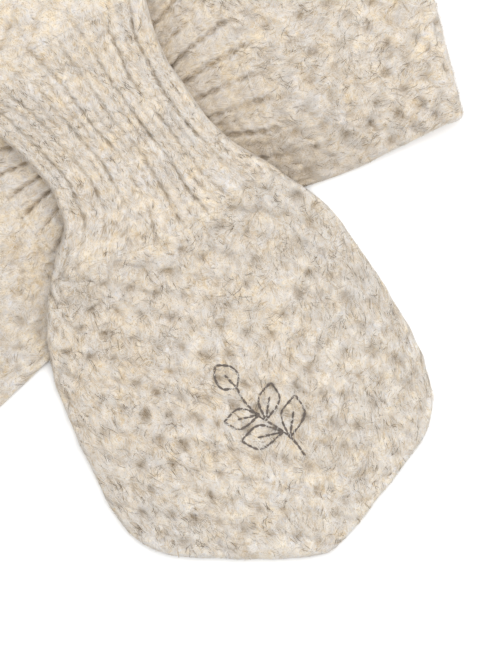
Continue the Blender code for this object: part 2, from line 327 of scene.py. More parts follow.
def readHeights(grid, tip, own, others):
    # the layer's own height, and that of whatever lies over it, on a coarse net, then smooth over the grid
    rows, lines = grid.shape[:2]
    length = lengthAlong(grid[:, lines // 2])
    inset, room = cloth["inset"], cloth["room"]
    netRows = round(length[-1] / cloth["control"]) + 1
    netLines = round(np.linalg.norm(grid[rows // 2, 0] - grid[rows // 2, -1]) / cloth["control"]) + 1
    ownTree, otherTree = [treeOf([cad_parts[name] for name in names]) if names else None
                          for names in (own, others)]
    firstRow = int(np.searchsorted(length, inset)) - 1 if tip else 0
    height, ceiling = np.full((netRows, netLines), np.nan), np.full((netRows, netLines), np.nan)
    across = shares(lines - 1)
    for a, row in enumerate(np.linspace(0, rows - 1, netRows)):
        line = grid[max(round(row), firstRow)]
        width = np.linalg.norm(line[-1] - line[0])
        for b, share in enumerate(np.interp(np.linspace(0, lines - 1, netLines), np.arange(lines), across)):
            share = np.clip(share, inset / width, 1 - inset / width)
            place = line[np.searchsorted(across, share)]
            height[a, b] = firstHit(ownTree, place, cloth["above"], False)
            if otherTree and not np.isnan(height[a, b]):
                ceiling[a, b] = firstHit(otherTree, place, height[a, b] - 1, True)
    while np.isnan(height).any():
        around = np.stack([np.roll(height, way, axis) for axis in (0, 1) for way in (1, -1)])
        count = (~np.isnan(around)).sum(axis=0)
        fill = np.where(np.isnan(height) & (count > 0))
        height[fill] = np.nansum(around, axis=0)[fill] / count[fill]
    for _ in range(3):
        around = np.pad(height, 1, mode="edge")
        height = (4 * height + around[2:, 1:-1] + around[:-2, 1:-1]
                  + around[1:-1, 2:] + around[1:-1, :-2]) / 8
    ceiling = np.where(np.isnan(ceiling) | (ceiling > height + room), height + room, ceiling)
    return [overGrid(net, rows, lines) for net in (height, ceiling)]


def awayFromEdge(grid, tip):
    # distance to the nearest free edge
    away = np.minimum(*[np.linalg.norm(grid - edge, axis=2) for edge in (grid[:, :1], grid[:, -1:])])
    if tip:
        border = np.concatenate((grid[:tip, 0][::-1], grid[0], grid[:tip, -1]))
        length = lengthAlong(border)
        even = np.arange(0, length[-1], cloth["borderStep"])
        border = np.stack([np.interp(even, length, border[:, k]) for k in (0, 1)], axis=1)
        for row in range(tip):
            spread = grid[row][:, None] - border[None]
            away[row] = np.minimum(away[row], np.sqrt((spread**2).sum(axis=2).min(axis=1)))
    return away


def closeTo(grid, borders):
    # 1 beside the edges of another layer, fading to 0 away from them: pressed by it, and in its shade
    step = cloth["underStep"]
    apart = ((grid[::step, ::step, None] - np.concatenate(borders)[::3]) ** 2).sum(axis=3).min(axis=2)
    fields = [np.exp(-apart / reach**2) for reach in (cloth["pressReach"], cloth["shadeReach"])]
    return [np.clip(overGrid(field, *grid.shape[:2]), 0, 1) for field in fields]


def surfaceNormals(points):
    normal = np.cross(np.gradient(points, axis=1), np.gradient(points, axis=0))
    return normal / np.maximum(np.linalg.norm(normal, axis=2), 1e-9)[..., None]


def foldOver(upper, under, spacing):
    # the strip turns over its last row and comes back underneath
    line = upper[-1, :, :2]
    run = line[-1] - line[0]
    outward = np.array((-run[1], run[0])) / np.hypot(*run)
    if outward @ (line[0] - upper[-2, 0, :2]) < 0:
        outward = -outward
    radius, thick = cloth["foldRadius"], cloth["thick"]
    half = (upper[-1, :, 2] - under[-1, :, 2]) / 2
    shift = under[-1, :, 2] + half - (2 * radius + thick / 2)
    steps = whole(math.pi * (radius + thick / 2), spacing, cloth["underStep"])
    outer, inner = [], []
    for step in range(1, steps + 1):
        angle = math.pi * (0.5 - step / steps)
        middle = radius + shift * (1 + math.sin(angle)) / 2
        for rows, reach in ((outer, middle + half), (inner, middle - half)):
            place = line + np.outer(reach * math.cos(angle), outward)
            rows.append(np.column_stack((place, radius + thick / 2 + reach * math.sin(angle))))
    return np.concatenate((upper, outer)), np.concatenate((under, inner))


moss = dict(
    across=12,  # stitches across the band
    shift=0.13,  # of the leaf's columns from its axis
    loops=0.38,  # share of the yarn's own relief
    hollow=1.6,  # depth of the hollow between four loops
    hollowWide=0.155,  # in stitches
    hollowHigh=0.31,
    strength=(0.75, 0.55),  # of a hollow, and how far it varies
    deepest=1.4,
    dipWide=0.33,  # the soft dip round the hollow
    dipHigh=0.7,
    slack=0.25,  # its depth, compared with the hollow's
    shadow=0.1,  # and how dark it is
    point=0.5,  # hollows at the leaf's stretched point and right side, compared with the others
    paler=4.0,  # how much paler the wool is there
    pointLong=65.0,
    sideWide=70.0,
    sideLong=100.0,
    sideEnd=1.7,  # times that length
    lobe=1.3,  # height of the two lobes of each loop
    lobeVaries=(0.9, 0.3),
    lobeApart=0.25,
    lobeSlant=0.1,
    lobeWide=0.21,
    lobeHigh=0.6,
    stray=0.15,  # how far a hollow strays from the even pattern
    strayHigh=1.3,  # times as far along the rows
    lean=0.12,
    sizes=0.3,  # how far the hollows' sizes vary
    soft=0.42,  # height of small bumps without a pattern
    softSize=2.8,
)
wander = dict(
    sizes=(7.0, 19.0, 2.4),  # of the quick, slow and fine waves in which the stitches stray
    slow=0.8,  # strength of the slow waves, to the quick ones'
    column=(0.11, 0.075),  # in stitches: quick and fine waves
    row=(0.13, 0.1),
)
looseSize = 64
looseTables = [np.random.default_rng(60 + kind).uniform(-1, 1, (looseSize, looseSize)) for kind in range(5)]


def bell(across, along):
    return np.exp(-across**2 - along**2)


def mossRelief(column, row):
    # hollows in every other stitch, and a two-lobed loop between two hollows of a column
    height, pit, dip = [np.zeros(column.shape) for _ in range(3)]
    firstColumn, firstRow = np.floor(column).astype(int), np.round(row).astype(int)
    for k in (firstColumn - 1, firstColumn, firstColumn + 1):
        for j in (firstRow - 2, firstRow - 1, firstRow, firstRow + 1, firstRow + 2):
            hollow = (k + j) % 2 == 0
            sx, sy, deep, size, lean = [t[k % looseSize, j % looseSize] for t in looseTables]
            dx = column - k - 0.5 - moss["stray"] * sx
            dy = row - j - moss["strayHigh"] * moss["stray"] * sy
            dx = dx + moss["lean"] * lean * dy
            grow = 1 + moss["sizes"] * size
            strength = np.where(hollow, moss["strength"][0] + moss["strength"][1] * deep, 0)
            pit = pit + strength * bell(dx / moss["hollowWide"] / grow, dy / moss["hollowHigh"] / grow)
            dip = dip + strength * bell(dx / moss["dipWide"], dy / moss["dipHigh"])
            apart = moss["lobeApart"] - moss["lobeSlant"] * dy
            lobes = sum(bell((dx - side * apart) / moss["lobeWide"], dy / moss["lobeHigh"])
                        for side in (-1, 1))
            lift = moss["lobe"] * (moss["lobeVaries"][0] + moss["lobeVaries"][1] * deep)
            height = height + np.where(hollow, 0, lift * lobes)
    # height, depth of the hollows, and how much painted shade each gets
    return height, np.minimum(pit + moss["slack"] * dip, moss["deepest"]), pit + moss["shadow"] * dip


def mossPart(strip, plan, share, run):
    # moss stitch follows the leaf's own axis, and the band's length beyond the rib
    def soft(size, kind):
        return uneven(plan[..., 0], plan[..., 1], size, kind)

    column, row, flatter = share * moss["across"], run / mossStitch["high"], np.zeros(run.shape)
    leafEnd, ribEnd = strip["ends"]
    if leafEnd:
        middle = (leafEnd + ribEnd) // 2
        side, along = plan @ turned(strip["axis"] + 90), plan @ turned(strip["axis"])
        column[:middle] = side[:middle] / mossStitch["wide"] + moss["shift"]
        row[:middle] = along[:middle] / mossStitch["high"]
        beside = ease(side / moss["sideWide"]) * ease(moss["sideEnd"] - run / moss["sideLong"])
        flatter = np.maximum(ease(1 - run / moss["pointLong"]), beside)
    quick, slow, fine = wander["sizes"]
    for place, kind, label in ((column, 1, "column"), (row, 2, "row")):
        waves, fineWaves = wander[label]
        place += (soft(quick, kind) + wander["slow"] * soft(slow, kind + 2)) * waves
        place += fineWaves * soft(fine, kind + 30)
    height, along, off, tone = knitted(mossCell, column, row)
    relief, sunk, pit = mossRelief(column, row)
    point = mixed(1, moss["point"], flatter)
    sunk = moss["hollow"] * (sunk * (1 + point) / 2)
    height = height * moss["loops"] + relief - sunk + moss["soft"] * soft(moss["softSize"], 5)
    return height, pit * point, along, off, tone + moss["paler"] * flatter


ribs = dict(
    blend=8.0,  # where rib and moss stitch run into each other
    trail=5.0,  # how much further the ribs run out at the neck's end
    ragged=(2.2, 6.0),  # how unevenly they start and end, and size of those waves
    relief=0.95,  # of the loops on a rib's back
    square=13.0,  # how flat a rib's back is
    bite=0.1,  # how far the loops' bulges cut into the gap beside them
    biteTurn=0.37,  # from rib to rib
    crest=1.2,  # how far the backs stand proud
    waver=(0.1, 14.0),  # of the ribs in stitches, and size of those waves
    rowWaver=(0.16, 9.0),
    wide=100,  # of the strip, for those waves
    gap=(0.85, 0.5, 0.4),  # depth, and how far it varies in quick and slow waves
    gapWaves=(6.0, 19.0),
    gapsApart=40,  # so that no two gaps vary alike
    gapLimits=(0.2, 1.4),
    gapClose=0.6,  # how much deeper beside the layer above
    waist=1.2,  # times as deep at the middle
    waistLong=44.0,
    swayLong=30.0,
    swayStart=0.3,
    fanStart=27.0,  # beyond the middle
    fanPlace=0.68,  # across the strip
    darkFrom=0.9,  # height on the back below which the wool is in the gap's shade
    darkDepth=1.6,
)


def ribPart(strip, share, run):
    # the ribs' place and height, and how much of them there is beside the moss stitch
    def waves(amount, size, kind):
        return amount * uneven(run, share * ribs["wide"], size, kind)

    ribbing, (leafEnd, ribEnd), close = strip["ribbing"], strip["ends"], strip["close"]
    count, widths = ribbing["count"], ribbing["lastWide"]
    last = np.full((len(run), 1), widths[-1])
    last[:leafEnd] = widths[0]
    place = np.linspace(0, len(widths) - 1, ribEnd - leafEnd + 1)
    last[leafEnd:ribEnd + 1, 0] = np.interp(place, np.arange(len(widths)), widths)
    waist = (leafEnd + ribEnd) // 2
    sway = ribbing["sway"] * ease((run[waist, 0] - run) / ribs["swayLong"] + ribs["swayStart"])
    beyond = np.maximum(run - run[waist] - ribs["fanStart"], 0)
    sway = sway + ribbing["fan"] * (ribs["fanPlace"] - share) * beyond
    column = share * (count - 1 + last) + sway + waves(*ribs["waver"], 8)
    column = np.where(column > count - 1, count - 1 + (column - count + 1) / last, column)
    row = run / ribStitch["high"] + waves(*ribs["rowWaver"], 9)
    number, gap = np.floor(column), np.round(column) * ribs["gapsApart"]
    across = np.where((column < 0.5) | (column > count - 0.5), 0, column - number - 0.5)
    bite = np.cos(2 * math.pi * (row + 0.5 * (across > 0) + ribs["biteTurn"] * number))
    across = np.clip(across * (1 + ribs["bite"] * (bite + 1)), -0.5, 0.5)
    height, along, off, tone = knitted(ribCell, column, row)
    usual, quick, slow = ribs["gap"]
    quickWaves, slowWaves = ribs["gapWaves"]
    deep = usual + quick * uneven(run, gap, quickWaves, 11) + slow * uneven(run, gap, slowWaves, 12)
    deep = np.clip(deep, *ribs["gapLimits"]) * ribbing["depth"] * (1 + ribs["gapClose"] * close)
    fromWaist = np.abs(run - (run[leafEnd] + run[ribEnd]) / 2)
    deep = deep * mixed(ribs["waist"], ribbing["fade"], ease(fromWaist / ribs["waistLong"]))
    back = np.sqrt(np.maximum(1 - np.abs(2 * across) ** ribs["square"], 0))
    height = ribs["crest"] + deep * (back - 1) + height * ribs["relief"] * back
    pit = np.clip((ribs["darkFrom"] - back) * deep / ribs["darkDepth"], 0, 1)
    blend, (ragged, size) = ribs["blend"], ribs["ragged"]
    ragged = ragged * uneven(run * 0, share * ribs["wide"], size, 13)
    part = ease((run - run[leafEnd] + ragged) / blend + 0.5) if leafEnd else np.ones(run.shape)
    part = part * ease((run[ribEnd] + ribs["trail"] - run + ragged) / (blend + ribs["trail"]) + 0.5)
    return part, (height, pit, along, off, tone)


def calmWhere(*fields):
    # 1 where neighbouring spots lie on the same strand, 0 where one strand crosses another
    calm = np.ones(fields[0].shape)
    for values in fields:
        corners = np.stack((values[:-1, :-1], values[1:, :-1], values[:-1, 1:], values[1:, 1:]))
        jump = corners.max(axis=0) - corners.min(axis=0) > yarn["jump"]
        for down, over in ((0, 0), (1, 0), (0, 1), (1, 1)):
            part = calm[down:down + jump.shape[0], over:over + jump.shape[1]]
            part[jump] = 0
    return calm


def dress(strip):
    # knits the stitches onto a smooth layer: the displaced upper face and what the wool finish needs
    base, away, close = strip["upper"], strip["away"], strip["close"]
    rows, lines = base.shape[:2]
    share = shares(lines - 1)[None] + np.zeros((rows, 1))
    run = lengthAlong(base[:, lines // 2])[:, None] + np.zeros((1, lines))
    plan = base[..., :2]
    leafEnd, ribEnd = strip["ends"]
    height, pit, along, off, tone = mossPart(strip, plan, share, run)
    if ribEnd > leafEnd:
        part, (ribHeight, ribPit, *onRib) = ribPart(strip, share, run)
        height, pit = mixed(height, ribHeight, part), mixed(pit, ribPit, part)
        along, off, tone = [np.where(part > 0.5, rib, plain) for rib, plain in zip(onRib, (along, off, tone))]
    # painted shade: in the hollows and rib gaps, beside the keyhole's edge on the neck's side, and broadly
    # under the upper strip's edges
    neckSide = ease((run - run[(leafEnd + ribEnd) // 2]) / cloth["mouthOver"] + 0.5)
    hollow = np.clip(pit + cloth["mouthShade"] * neckSide * (0.5 * close + np.sqrt(close)), 0, 1)
    shaded = strip["shaded"] * mixed(cloth["leafShade"], 1, neckSide)
    swell, size = cloth["swell"]
    height = height + swell * uneven(plan[..., 0], plan[..., 1], size, 15) - cloth["press"] * close
    height = height * mixed(cloth["edgeRelief"], 1, ease(away / cloth["rim"]))
    height = height * ease(away / cloth["edgeFade"])
    facing = -1 if strip["flip"] else 1
    normal = surfaceNormals(base) * facing
    height = height * mixed(cloth["foldRelief"], 1, ease(normal[..., 2]))
    face = base + normal * height[..., None]
    lowest = cloth["lowest"]
    face[..., 2] = np.clip(face[..., 2], lowest, np.maximum(strip["ceiling"] - cloth["air"], lowest))
    return dict(face=face, normal=surfaceNormals(face) * facing, run=along, off=off, tone=tone,
                hollow=hollow, shaded=shaded, calm=calmWhere(along, off))


def layerOf(grid, away, heights):
    # the smooth upper and under face of a layer, rounded off at its free edges
    thick, low = cloth["thick"], cloth["rimHeight"]
    rim = np.sqrt(1 - (1 - np.minimum(away / cloth["rim"], 1)) ** 2)
    bottom = np.maximum(heights - thick, 0)
    upper = np.dstack((grid, bottom + thick * (low + (1 - low) * rim)))
    under = np.dstack((grid, bottom + thick * low * (1 - rim)))
    return upper, under


def fanned(sides):
    # a cell's faces: its long fine sides are joined to its plain corners by triangles
    ring = []
    for side in sides:
        ring += [v for v in side[:-1] if not ring or v != ring[-1]]
    if ring[0] == ring[-1]:
        ring.pop()
    fine = [side for side in sides if len(side) > 2]
    if len(ring) < 3 or not fine:
        return [ring] if len(ring) > 2 else []
    chain = fine[0]
    if len(fine) > 1:
        hub = [v for v in ring if v not in fine[0] and v not in fine[1]][0]
        return [[hub, a, b] for a, b in zip(ring, ring[1:] + ring[:1]) if hub not in (a, b)]
    start = ring.index(chain[-1])
    plain = ring[start:] + ring[:start]
    plain = [v for v in plain if v not in chain[1:-1]]  # from the chain's end, round to its start
    before, after = plain[1], plain[-2]
    if len(plain) == 3:
        return [[before, a, b] for a, b in zip(chain, chain[1:])]
    half = len(chain) // 2
    faces = [[after, a, b] for a, b in zip(chain[:half], chain[1:half + 1])]
    faces += [[before, a, b] for a, b in zip(chain[half:-1], chain[half + 1:])]
    return faces + [[after, chain[half], before]]


def meshPiece(name, points, corners, counts, smooth, maps, fields):
    # an object made from arrays, with its maps on the corners and its fields on the points
    mesh = bpy.data.meshes.new(name)
    mesh.vertices.add(len(points))
    mesh.vertices.foreach_set("co", ((points - cloth["nape"]) * mm).astype(np.float32).ravel())
    mesh.loops.add(len(corners))
    mesh.loops.foreach_set("vertex_index", corners.astype(np.int32))
    mesh.polygons.add(len(counts))
    mesh.polygons.foreach_set("loop_start", np.concatenate(([0], np.cumsum(counts)[:-1])).astype(np.int32))
    mesh.polygons.foreach_set("use_smooth", smooth)
    mesh.update(calc_edges=True)
    for label, uv in maps.items():
        mesh.uv_layers.new(name=label).data.foreach_set("uv", uv.astype(np.float32).ravel())
    for label, values in fields.items():
        mesh.attributes.new(label, "FLOAT", "POINT").data.foreach_set("value", values.astype(np.float32))
    piece = bpy.data.objects.new(name, mesh)
    bpy.context.scene.collection.objects.link(piece)
    return piece


# Where a piece's faces lie on its bake map: the knitted face, the open ends, the underside.
bakeMap = dict(margin=0.002, faceEnd=0.86, ends=0.866, endWide=0.006, endsApart=0.012, under=0.89)


def evenSpots(rows, lines):
    return np.stack(np.meshgrid(np.linspace(0, 1, rows), np.linspace(0, 1, lines), indexing="ij"), axis=-1)


def knitMesh(name, strip, dressed, first, last, freeFirst):
    # one closed piece: fine stitches above, a plainer underside, and the two faces share every free edge
    step = cloth["underStep"]
    top = dressed["face"][first:last + 1]
    rows, lines = top.shape[:2]
    under = strip["under"][first:last + 1:step, ::step]
    netRows, netLines = under.shape[:2]
    number = np.arange(rows * lines).reshape(rows, lines)
    base = number[::step, ::step].copy()
    inner = np.ones((netRows, netLines), bool)
    inner[:, 0] = inner[:, -1] = False
    if freeFirst:
        inner[0] = False
    base[inner] = rows * lines + np.arange(inner.sum())
    points = np.concatenate((top.reshape(-1, 3), under[inner]))
    quads = np.stack((number[:-1, :-1], number[:-1, 1:], number[1:, 1:], number[1:, :-1]), axis=-1)
    quads = quads.reshape(-1, 4)
    plain, walls = [], []
    for a in range(netRows - 1):
        for b in range(netLines - 1):
            # round the cell the other way, so that it faces down
            left = number[a * step:(a + 1) * step + 1, 0] if b == 0 else base[a:a + 2, b]
            right = number[a * step:(a + 1) * step + 1, -1] if b == netLines - 2 else base[a:a + 2, b + 1]
            near = number[0, b * step:(b + 1) * step + 1] if a == 0 and freeFirst else base[a, b:b + 2]
            far = base[a + 1, b:b + 2]
            plain += fanned([list(left), list(far), list(right[::-1]), list(near[::-1])])
    for a, fine in (([] if freeFirst else [(0, 0)]) + [(netRows - 1, rows - 1)]):
        for b in range(netLines - 1):
            chain = list(number[fine, b * step:(b + 1) * step + 1])
            sides = [chain, [chain[-1], base[a, b + 1]], list(base[a, b:b + 2][::-1]), [base[a, b], chain[0]]]
            walls += [ring[::-1] if a == 0 else ring for ring in fanned(sides)]
    if strip["flip"]:
        quads = quads[:, ::-1]
        plain, walls = [r[::-1] for r in plain], [r[::-1] for r in walls]
    rings = plain + walls
    corners = np.concatenate([quads.ravel()] + [np.array(ring) for ring in rings])
    counts = np.array([4] * len(quads) + [len(ring) for ring in rings])

    spots = evenSpots(rows, lines).reshape(-1, 2), evenSpots(netRows, netLines)[inner]
    spots = np.concatenate(spots)[corners]
    margin, start = bakeMap["margin"], bakeMap["under"]
    bake = margin + spots * (bakeMap["faceEnd"] - margin, 1 - 2 * margin)
    below = slice(quads.size, None)
    bake[below, 0] = start + spots[below, 0] * (1 - margin - start)
    atEnds = slice(quads.size + sum(len(ring) for ring in plain), None)
    bake[atEnds, 0] = (bakeMap["ends"] + bakeMap["endsApart"] * (spots[atEnds, 0] < 0.5)
                       + bakeMap["endWide"] * (corners[atEnds] >= rows * lines))

    # the finish reads how far along and across its strand a spot lies, the loop's tone, and how much painted
    # shade the spot gets in its hollow and under the upper strip's edges
    strand = np.stack((dressed["run"], dressed["off"]), axis=-1)[first:last + 1].reshape(-1, 2)
    strand = np.concatenate((strand, under[inner][:, :2]))
    fields = {}
    for label, plainly in (("tone", 0.0), ("hollow", 0.0), ("calm", 1.0), ("shaded", 0.0)):
        knit = dressed[label][first:last + 1].ravel()
        fields[label] = np.concatenate((knit, np.full(inner.sum(), plainly)))
    piece = meshPiece(name, points, corners, counts, np.arange(len(counts)) < len(quads) + len(plain),
                      dict(OFBake=bake, strand=strand[corners]), fields)
    piece.data.validate()
    return piece


# Shader maths
class Wire:
    # wraps a socket, so that an expression on values adds its Math nodes
    def __init__(self, finish, socket):
        self.finish, self.socket = finish, socket

    def maths(self, operation, first, second):
        return self.finish.node("ShaderNodeMath", dict(operation=operation), {0: first, 1: second})

    def __add__(self, other):
        return self.maths("ADD", self, other)

    def __sub__(self, other):
        return self.maths("SUBTRACT", self, other)

    def __rsub__(self, other):
        return self.maths("SUBTRACT", other, self)

    def __mul__(self, other):
        return self.maths("MULTIPLY", self, other)

    __radd__ = __add__
    __rmul__ = __mul__


class Finish:
    def __init__(self, name):
        self.material = bpy.data.materials.new(name)
        self.material.use_nodes = True
        self.nodes, self.links = self.material.node_tree.nodes, self.material.node_tree.links
        self.nodes.clear()
        self.shader = self.nodes.new("ShaderNodeBsdfPrincipled")
        self.links.new(self.shader.outputs[0], self.nodes.new("ShaderNodeOutputMaterial").inputs[0])

    def node(self, kind, settings=None, inputs=None, out=0):
        made = self.nodes.new(kind)
        for key, value in (settings or {}).items():
            if key == "stops":
                while len(made.color_ramp.elements) < len(value):
                    made.color_ramp.elements.new(0.5)
                for element, (place, colour) in zip(made.color_ramp.elements, value):
                    element.position, element.color = place, (*colour, 1)
            else:
                setattr(made, key, value)
        for key, value in (inputs or {}).items():
            self.put(made.inputs[key], value)
        return Wire(self, made.outputs[out])

    def put(self, socket, value):
        if isinstance(value, Wire):
            self.links.new(value.socket, socket)
        elif hasattr(value, "__len__") and len(value) == 3 and socket.type == "RGBA":
            socket.default_value = (*value, 1)
        else:
            socket.default_value = value

    def blend(self, share, first, second, how="MIX"):
        settings = dict(data_type="RGBA", blend_type=how)
        return self.node("ShaderNodeMix", settings, {0: share, 6: first, 7: second}, 2)

    def field(self, name):
        return self.node("ShaderNodeAttribute", dict(attribute_name=name), out=2)

    def ramp(self, value, low, high):
        return self.node("ShaderNodeMapRange", dict(clamp=True), {0: value, 1: low, 2: high, 3: 0.0, 4: 1.0})

    def noise(self, vector, scale, detail=2.0, roughness=0.5, warp=0.0):
        return self.node("ShaderNodeTexNoise", None, {"Vector": vector, "Scale": scale, "Detail": detail,
                                                      "Roughness": roughness, "Distortion": warp})

    def surface(self, **sockets):
        for name, value in sockets.items():
            self.put(self.shader.inputs[name.replace("_", " ")], value)
        return self.material


wool = dict(
    cream=(0.70, 0.626, 0.538),
    light=(0.735, 0.697, 0.646),
    bright=(0.745, 0.714, 0.67),
    tan=(0.53, 0.41, 0.255),
    grey=(0.45, 0.388, 0.325),
    dark=(0.195, 0.15, 0.105),
    deep=(0.28, 0.213, 0.145),  # painted shade at the bottom of a hollow, and under the upper strip's edges
    warm=(1.08, 0.995, 0.815),  # tints that drift through the yarn
    cool=(0.95, 1.0, 1.105),
    hollow=0.85,  # how much the painted shade darkens the wool in a hollow
    shaded=0.3,  # and the wool under the upper strip's edges, a broad painted shade
    toneShare=0.05,  # how far the loops differ in tone
    lightFrom=(0.4, 0.7),  # where light wool starts and is full
    warmFrom=(0.36, 0.64),
    # where the painted shade in a hollow starts and is full
    hollowFrom=(0.1, 1.0),
    tanFrom=(0.35, 0.65),  # where the painted shade in the hollows turns from deep brown to tan
    brokenFrom=(0.4, 0.6),  # where single fibres break up the hollows' shade
    broken=0.12,  # what they leave of it
    fineShare=0.8,  # how far the grain follows the strand
    relief=(("fibres", 0.6), ("specks", 0.5), ("flecks", 0.4)),
    bump=0.7,
    mossFuzz=0.0009,  # depth of that relief, in metres
    ribFuzz=0.0008,
    looseStops=((0.0, "dark"), (0.01, "grey"), (0.13, "tan"), (0.3, "cream"), (0.6, "light"),
                (1.0, "bright")),  # the colours of single fibres by tone
    looseMottle=(300.0, 0.2),  # scale and strength of the mottling along a loose fibre
    looseHollow=(0.95, 0.5),  # how much painted shade darkens one in a hollow, and how much less a pale one
)
# Patterns in all directions: scale, detail, roughness, warp.
specklings = dict(
    flecks=(230, 3.0, 0.6, 1.2), specks=(520, 3.0, 0.7, 0.8), patches=(95, 2.0, 0.5, 0.5),
    drift=(130, 2.0, 0.6, 0.6), fineDrift=(580, 2.0, 0.7, 0.6), broken=(1300, 2.0, 0.7, 1.5),
    grain=(1800, 2.0, 0.7, 0.3),
)
# Patterns drawn out along the strand: scale along it and across it, detail, roughness, warp.
streaks = dict(
    fibres=(0.3, 2.1, 3.0, 0.6, 0.7), coarse=(0.12, 0.7, 2.0, 0.5, 0.5), fine=(0.5, 3.2, 2.0, 0.7, 0.4),
)
# What lies over the cream in turn: pattern, where it starts and is full, how much of it, colour.
woolLayers = (
    ("flecks", 0.5, 0.7, 0.7, "tan"), ("patches", 0.5, 0.7, 0.55, "grey"),
    ("fibres", 0.48, 0.36, 0.5, "grey"), ("fibres", 0.52, 0.66, 0.75, "light"),
    ("specks", 0.6, 0.76, 0.55, "dark"),
)
grainLayers = (("grain", 0.5, 0.7, 0.5, "dark"), ("grain", 0.5, 0.32, 0.5, "bright"))


def woolFinish(name, fuzzBump):
    f = Finish(name)
    place = f.node("ShaderNodeTexCoord", out=3)
    strand = f.node("ShaderNodeUVMap", dict(uv_map="strand"))
    tone, calm = f.field("tone"), f.field("calm")
    look = {label: f.noise(place, *setting) for label, setting in specklings.items()}
    for label, (x, y, *setting) in streaks.items():
        stretched = f.node("ShaderNodeVectorMath", dict(operation="MULTIPLY"), {0: strand, 1: (x, y, 1)})
        look[label] = f.noise(stretched, 1.0, *setting)
    for label in ("fibres", "coarse"):
        look[label] = (look[label] - 0.5) * calm + 0.5
    look["grain"] = look["grain"] + calm * wool["fineShare"] * (look["fine"] - look["grain"])

    def layered(colour, layers):
        for label, low, high, much, shade in layers:
            colour = f.blend(f.ramp(look[label], low, high) * much, colour, wool[shade])
        return colour

    light = f.ramp(look["coarse"] + wool["toneShare"] * tone, *wool["lightFrom"])
    colour = layered(f.blend(light, wool["cream"], wool["light"]), woolLayers)
    warm = f.ramp(0.5 * look["drift"] + 0.5 * look["fineDrift"], *wool["warmFrom"])
    colour = f.blend(1.0, colour, f.blend(warm, wool["cool"], wool["warm"]), "MULTIPLY")
    broken = wool["broken"] + f.ramp(look["broken"], *wool["brokenFrom"]) * (1 - wool["broken"])
    # painted shade in the hollows, the rib gaps and beside the keyhole's edge, broken up by single fibres,
    # deep brown to tan
    shade = f.ramp(f.field("hollow"), *wool["hollowFrom"]) * wool["hollow"] * broken
    hollowShadeColour = f.blend(f.ramp(look["specks"], *wool["tanFrom"]), wool["deep"], wool["tan"])
    colour = layered(f.blend(shade, colour, hollowShadeColour), grainLayers)
    # broad painted shade under the upper strip's edges
    colour = f.blend(f.field("shaded") * wool["shaded"], colour, wool["deep"])
    relief = sum(look[label] * much for label, much in wool["relief"])
    bump = f.node("ShaderNodeBump", None, {"Strength": wool["bump"], "Distance": fuzzBump, "Height": relief})
    return f.surface(Base_Color=colour, Roughness=0.95, Normal=bump, Sheen_Weight=0.25, Sheen_Roughness=0.6,
                     Specular_IOR_Level=0.15)


mossWool = woolFinish("mossStitchWool", wool["mossFuzz"])
ribWool = woolFinish("ribbedWool", wool["ribFuzz"])


def strandFinish(name):
    # single fibres standing off the knitting, each in its own tone
    f = Finish(name)
    tone = f.field("tone")
    scale, mottle = wool["looseMottle"]
    dark, pale = wool["looseHollow"]
    along = f.noise(f.node("ShaderNodeTexCoord", out=3), scale)
    stops = [(place, wool[shade]) for place, shade in wool["looseStops"]]
    colour = f.node("ShaderNodeValToRGB", dict(stops=stops), {0: tone + mottle * (along - 0.5)})
    # painted shade on a fibre in a hollow, less on a pale one, and under the upper strip's edges
    hollowShadeColour = f.blend(tone, wool["deep"], wool["tan"])
    colour = f.blend(f.field("hollow") * (dark - pale * tone), colour, hollowShadeColour)
    colour = f.blend(f.field("shaded") * wool["shaded"], colour, wool["deep"])
    return f.surface(Base_Color=colour, Roughness=0.9, Sheen_Weight=0.2, Specular_IOR_Level=0.15)


haze = dict(
    segments=3,
    tuft=6,  # fibres that leave the wool together
    apart=1.1,  # how far apart they start
    pace=0.2,  # the closest that two grid lines count as
    short=2.5,
    long=8.0,
    ribLong=4.5,
    lengths=(0.7, 1.2),  # in a tuft, times its length
    stray=0.85,  # how far they turn off the strip's own direction
    ribStray=0.4,
    strayInTuft=0.28,
    bend=1.1,
    bendInTuft=0.5,
    lift=0.8,
    lifts=(0.15, 1.0),
    liftPower=1.5,  # most fibres lie lower
    arc=(0.05, 0.9),  # the part of an arch that a fibre follows: its start and length
    start=0.03,  # height above the wool
    wide=0.17,
    widths=(0.5, 1.3),
    tones=(0.05, 0.95),
    toneInTuft=0.27,
    lowest=0.1,
)


